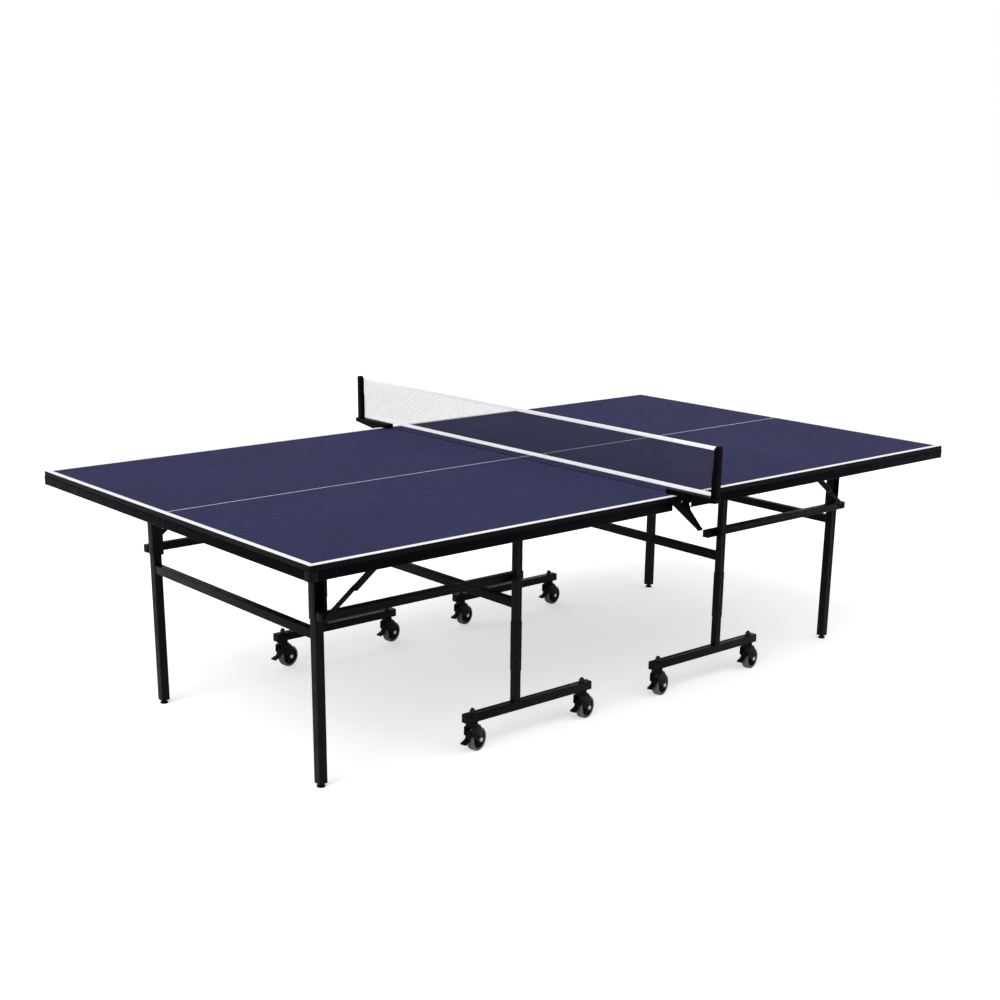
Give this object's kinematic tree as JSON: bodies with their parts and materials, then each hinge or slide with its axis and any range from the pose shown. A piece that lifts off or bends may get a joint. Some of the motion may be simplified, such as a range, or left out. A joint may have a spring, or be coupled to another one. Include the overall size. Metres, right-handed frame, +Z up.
{
  "type": "ping pong table",
  "caption": "Folding table tennis table in two rolling halves with a clamped net, steel aprons, braced end legs and braked casters.",
  "frame": {"origin": "on the floor under the middle of the net", "axes": "+X along the table from the left half to the right half, +Y across it to the far side, +Z up"},
  "size_m": [2.743, 1.836, 0.934],
  "materials": {
    "playing_board": "matte painted board",
    "apron_steel": "satin powder coat",
    "frame_steel": "satin powder coat",
    "caster_steel": "satin powder coat",
    "clamp_steel": "satin powder coat",
    "bolt_steel": "zinc plated",
    "black_plastic": "matte",
    "tyre_rubber": "matte",
    "net_cloth": "woven mesh with taped edges"
  },
  "bodies": {
    "left_undercarriage": {"left_post_frame": "frame_steel", "left_post_sleeves": "frame_steel", "left_caster_bars": "frame_steel", "left_bar_caps": "black_plastic", "left_undercarriage_bolts": "bolt_steel"},
    "left_top": {"left_tabletop": "playing_board", "left_apron_rails": "apron_steel", "left_corner_caps": "black_plastic", "left_under_frame": "frame_steel", "net_posts": "clamp_steel", "net": "net_cloth"},
    "left_legs": {"left_end_legs": "frame_steel", "left_leg_plugs": "black_plastic"},
    "left_foot_near": {"left_leveller_near": "black_plastic"},
    "left_foot_far": {"left_leveller_far": "black_plastic"},
    "left_rails": {"left_side_rails": "frame_steel"},
    "left_upper_brace": {"left_brace_upper_links": "frame_steel"},
    "left_lower_brace": {"left_brace_lower_links": "frame_steel"},
    "right_undercarriage": {"right_post_frame": "frame_steel", "right_post_sleeves": "frame_steel", "right_caster_bars": "frame_steel", "right_bar_caps": "black_plastic", "right_undercarriage_bolts": "bolt_steel"},
    "right_top": {"right_tabletop": "playing_board", "right_apron_rails": "apron_steel", "right_corner_caps": "black_plastic", "right_under_frame": "frame_steel"},
    "right_legs": {"right_end_legs": "frame_steel", "right_leg_plugs": "black_plastic"},
    "right_foot_near": {"right_leveller_near": "black_plastic"},
    "right_foot_far": {"right_leveller_far": "black_plastic"},
    "right_rails": {"right_side_rails": "frame_steel"},
    "right_upper_brace": {"right_brace_upper_links": "frame_steel"},
    "right_lower_brace": {"right_brace_lower_links": "frame_steel"},
    "caster_1": {"caster_1_fork": "caster_steel"},
    "wheel_1": {"caster_1_wheel": "tyre_rubber"},
    "pedal_1": {"caster_1_brake_pedal": "black_plastic"},
    "caster_2": {"caster_2_fork": "caster_steel"},
    "wheel_2": {"caster_2_wheel": "tyre_rubber"},
    "pedal_2": {"caster_2_brake_pedal": "black_plastic"},
    "caster_3": {"caster_3_fork": "caster_steel"},
    "wheel_3": {"caster_3_wheel": "tyre_rubber"},
    "pedal_3": {"caster_3_brake_pedal": "black_plastic"},
    "caster_4": {"caster_4_fork": "caster_steel"},
    "wheel_4": {"caster_4_wheel": "tyre_rubber"},
    "pedal_4": {"caster_4_brake_pedal": "black_plastic"},
    "caster_5": {"caster_5_fork": "caster_steel"},
    "wheel_5": {"caster_5_wheel": "tyre_rubber"},
    "pedal_5": {"caster_5_brake_pedal": "black_plastic"},
    "caster_6": {"caster_6_fork": "caster_steel"},
    "wheel_6": {"caster_6_wheel": "tyre_rubber"},
    "pedal_6": {"caster_6_brake_pedal": "black_plastic"},
    "caster_7": {"caster_7_fork": "caster_steel"},
    "wheel_7": {"caster_7_wheel": "tyre_rubber"},
    "pedal_7": {"caster_7_brake_pedal": "black_plastic"},
    "caster_8": {"caster_8_fork": "caster_steel"},
    "wheel_8": {"caster_8_wheel": "tyre_rubber"},
    "pedal_8": {"caster_8_brake_pedal": "black_plastic"},
    "net_clamp_near": {"net_lever_near": "clamp_steel"},
    "net_clamp_far": {"net_lever_far": "clamp_steel"}
  },
  "joints": [
    {"name": "left_fold", "type": "hinge", "parent": "left_undercarriage", "child": "left_top", "pos_m": [-0.463, 0, 0.7], "axis": [0, 1, 0], "range_deg": [0, 90]},
    {"name": "left_leg_hinge", "type": "hinge", "parent": "left_top", "child": "left_legs", "pos_m": [-1.15, 0, 0.7], "axis": [0, 1, 0], "range_deg": [-90, 0]},
    {"name": "left_rail_hinge", "type": "hinge", "parent": "left_undercarriage", "child": "left_rails", "pos_m": [-0.463, 0, 0.523], "axis": [0, 1, 0], "range_deg": [0, 90]},
    {"name": "left_upper_brace_hinge", "type": "hinge", "parent": "left_top", "child": "left_upper_brace", "pos_m": [-0.88, 0, 0.724], "axis": [0, 1, 0], "range_deg": [0, 15]},
    {"name": "left_lower_brace_hinge", "type": "hinge", "parent": "left_rails", "child": "left_lower_brace", "pos_m": [-1.15, 0, 0.523], "axis": [0, 1, 0], "range_deg": [-172, 0]},
    {"name": "left_leveller_near", "type": "slide", "parent": "left_legs", "child": "left_foot_near", "axis": [0, 0, -1], "range_m": [0, 0.015]},
    {"name": "left_leveller_far", "type": "slide", "parent": "left_legs", "child": "left_foot_far", "axis": [0, 0, -1], "range_m": [0, 0.015]},
    {"name": "right_fold", "type": "hinge", "parent": "right_undercarriage", "child": "right_top", "pos_m": [0.463, 0, 0.7], "axis": [0, -1, 0], "range_deg": [0, 90]},
    {"name": "right_leg_hinge", "type": "hinge", "parent": "right_top", "child": "right_legs", "pos_m": [1.15, 0, 0.7], "axis": [0, -1, 0], "range_deg": [-90, 0]},
    {"name": "right_rail_hinge", "type": "hinge", "parent": "right_undercarriage", "child": "right_rails", "pos_m": [0.463, 0, 0.523], "axis": [0, -1, 0], "range_deg": [0, 90]},
    {"name": "right_upper_brace_hinge", "type": "hinge", "parent": "right_top", "child": "right_upper_brace", "pos_m": [0.88, 0, 0.724], "axis": [0, -1, 0], "range_deg": [0, 15]},
    {"name": "right_lower_brace_hinge", "type": "hinge", "parent": "right_rails", "child": "right_lower_brace", "pos_m": [1.15, 0, 0.523], "axis": [0, -1, 0], "range_deg": [-172, 0]},
    {"name": "right_leveller_near", "type": "slide", "parent": "right_legs", "child": "right_foot_near", "axis": [0, 0, -1], "range_m": [0, 0.015]},
    {"name": "right_leveller_far", "type": "slide", "parent": "right_legs", "child": "right_foot_far", "axis": [0, 0, -1], "range_m": [0, 0.015]},
    {"name": "halves_apart", "type": "slide", "parent": "left_undercarriage", "child": "right_undercarriage", "axis": [1, 0, 0], "range_m": [0, 0.6]},
    {"name": "caster_1_swivel", "type": "hinge", "parent": "left_undercarriage", "child": "caster_1", "pos_m": [-0.636, -0.526, 0.1], "axis": [0, 0, 1], "continuous": true},
    {"name": "caster_1_roll", "type": "hinge", "parent": "caster_1", "child": "wheel_1", "pos_m": [-0.61475, -0.52031, 0.0375], "axis": [-0.2588, 0.9659, 0], "continuous": true},
    {"name": "caster_1_brake", "type": "hinge", "parent": "caster_1", "child": "pedal_1", "pos_m": [-0.64952, -0.52962, 0.0665], "axis": [0.2588, -0.9659, 0], "range_deg": [0, 12]},
    {"name": "caster_2_swivel", "type": "hinge", "parent": "left_undercarriage", "child": "caster_2", "pos_m": [-0.177, -0.526, 0.1], "axis": [0, 0, 1], "continuous": true},
    {"name": "caster_2_roll", "type": "hinge", "parent": "caster_2", "child": "wheel_2", "pos_m": [-0.15548, -0.52143, 0.0375], "axis": [-0.2079, 0.9781, 0], "continuous": true},
    {"name": "caster_2_brake", "type": "hinge", "parent": "caster_2", "child": "pedal_2", "pos_m": [-0.19069, -0.52891, 0.0665], "axis": [0.2079, -0.9781, 0], "range_deg": [0, 12]},
    {"name": "caster_3_swivel", "type": "hinge", "parent": "left_undercarriage", "child": "caster_3", "pos_m": [-0.636, 0.526, 0.1], "axis": [0, 0, 1], "continuous": true},
    {"name": "caster_3_roll", "type": "hinge", "parent": "caster_3", "child": "wheel_3", "pos_m": [-0.61427, 0.52944, 0.0375], "axis": [-0.1564, 0.9877, 0], "continuous": true},
    {"name": "caster_3_brake", "type": "hinge", "parent": "caster_3", "child": "pedal_3", "pos_m": [-0.64983, 0.52381, 0.0665], "axis": [0.1564, -0.9877, 0], "range_deg": [0, 12]},
    {"name": "caster_4_swivel", "type": "hinge", "parent": "left_undercarriage", "child": "caster_4", "pos_m": [-0.177, 0.526, 0.1], "axis": [0, 0, 1], "continuous": true},
    {"name": "caster_4_roll", "type": "hinge", "parent": "caster_4", "child": "wheel_4", "pos_m": [-0.15548, 0.53057, 0.0375], "axis": [-0.2079, 0.9781, 0], "continuous": true},
    {"name": "caster_4_brake", "type": "hinge", "parent": "caster_4", "child": "pedal_4", "pos_m": [-0.19069, 0.52309, 0.0665], "axis": [0.2079, -0.9781, 0], "range_deg": [0, 12]},
    {"name": "caster_5_swivel", "type": "hinge", "parent": "right_undercarriage", "child": "caster_5", "pos_m": [0.177, -0.526, 0.1], "axis": [0, 0, 1], "continuous": true},
    {"name": "caster_5_roll", "type": "hinge", "parent": "caster_5", "child": "wheel_5", "pos_m": [0.19835, -0.52068, 0.0375], "axis": [-0.2419, 0.9703, 0], "continuous": true},
    {"name": "caster_5_brake", "type": "hinge", "parent": "caster_5", "child": "pedal_5", "pos_m": [0.16342, -0.52939, 0.0665], "axis": [0.2419, -0.9703, 0], "range_deg": [0, 12]},
    {"name": "caster_6_swivel", "type": "hinge", "parent": "right_undercarriage", "child": "caster_6", "pos_m": [0.636, -0.526, 0.1], "axis": [0, 0, 1], "continuous": true},
    {"name": "caster_6_roll", "type": "hinge", "parent": "caster_6", "child": "wheel_6", "pos_m": [0.65767, -0.52218, 0.0375], "axis": [-0.1736, 0.9848, 0], "continuous": true},
    {"name": "caster_6_brake", "type": "hinge", "parent": "caster_6", "child": "pedal_6", "pos_m": [0.62221, -0.52843, 0.0665], "axis": [0.1736, -0.9848, 0], "range_deg": [0, 12]},
    {"name": "caster_7_swivel", "type": "hinge", "parent": "right_undercarriage", "child": "caster_7", "pos_m": [0.177, 0.526, 0.1], "axis": [0, 0, 1], "continuous": true},
    {"name": "caster_7_roll", "type": "hinge", "parent": "caster_7", "child": "wheel_7", "pos_m": [0.19852, 0.53057, 0.0375], "axis": [-0.2079, 0.9781, 0], "continuous": true},
    {"name": "caster_7_brake", "type": "hinge", "parent": "caster_7", "child": "pedal_7", "pos_m": [0.16331, 0.52309, 0.0665], "axis": [0.2079, -0.9781, 0], "range_deg": [0, 12]},
    {"name": "caster_8_swivel", "type": "hinge", "parent": "right_undercarriage", "child": "caster_8", "pos_m": [0.636, 0.526, 0.1], "axis": [0, 0, 1], "continuous": true},
    {"name": "caster_8_roll", "type": "hinge", "parent": "caster_8", "child": "wheel_8", "pos_m": [0.65779, 0.52906, 0.0375], "axis": [-0.1392, 0.9903, 0], "continuous": true},
    {"name": "caster_8_brake", "type": "hinge", "parent": "caster_8", "child": "pedal_8", "pos_m": [0.62214, 0.52405, 0.0665], "axis": [0.1392, -0.9903, 0], "range_deg": [0, 12]},
    {"name": "net_clamp_near_lever", "type": "hinge", "parent": "left_top", "child": "net_clamp_near", "pos_m": [-0.0138, -0.7865, 0.7475], "axis": [-1, 0, 0], "range_deg": [0, 14], "stiffness_Nm_per_rad": 2, "springref_deg": -8.59},
    {"name": "net_clamp_far_lever", "type": "hinge", "parent": "left_top", "child": "net_clamp_far", "pos_m": [-0.0138, 0.7865, 0.7475], "axis": [1, 0, 0], "range_deg": [0, 14], "stiffness_Nm_per_rad": 2, "springref_deg": -8.59}
  ],
  "couplings": [
    {"joint": "left_leg_hinge", "follows": "left_fold", "ratio": -1},
    {"joint": "left_rail_hinge", "follows": "left_fold", "ratio": 1},
    {"joint": "left_upper_brace_hinge", "follows": "left_fold", "ratio": 0.1641},
    {"joint": "left_lower_brace_hinge", "follows": "left_fold", "ratio": -1.9014},
    {"joint": "right_leg_hinge", "follows": "right_fold", "ratio": -1},
    {"joint": "right_rail_hinge", "follows": "right_fold", "ratio": 1},
    {"joint": "right_upper_brace_hinge", "follows": "right_fold", "ratio": 0.1641},
    {"joint": "right_lower_brace_hinge", "follows": "right_fold", "ratio": -1.9014},
    {"joint": "halves_apart", "follows": "left_fold", "m_per_rad": 0.35}
  ]
}
